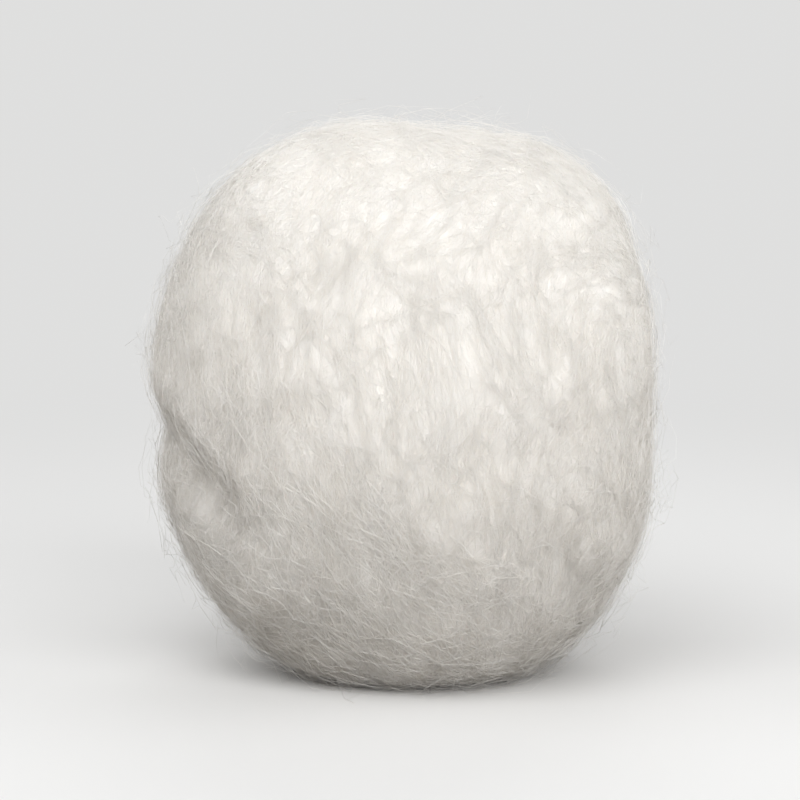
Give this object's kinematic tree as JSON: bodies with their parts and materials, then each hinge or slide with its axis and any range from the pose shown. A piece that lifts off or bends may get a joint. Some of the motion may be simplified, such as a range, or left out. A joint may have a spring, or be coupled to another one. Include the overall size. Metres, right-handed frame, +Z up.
{
  "type": "cotton ball",
  "caption": "Soft cotton wool ball, a little pressed out of round, with rounded shoulders, shallow lapped creases and a small flat spot to rest on.",
  "frame": {"origin": "middle of the flat spot that the ball rests on", "axes": "+Z up, along the ball's longest extent; -Y towards the smooth front; the roll's two dimpled ends face -X and +X"},
  "size_m": [0.035, 0.034, 0.039],
  "materials": {
    "cotton": "matt, fibrous, slightly warm white"
  },
  "bodies": {
    "root": {"cotton_ball": "cotton"}
  },
  "joints": []
}
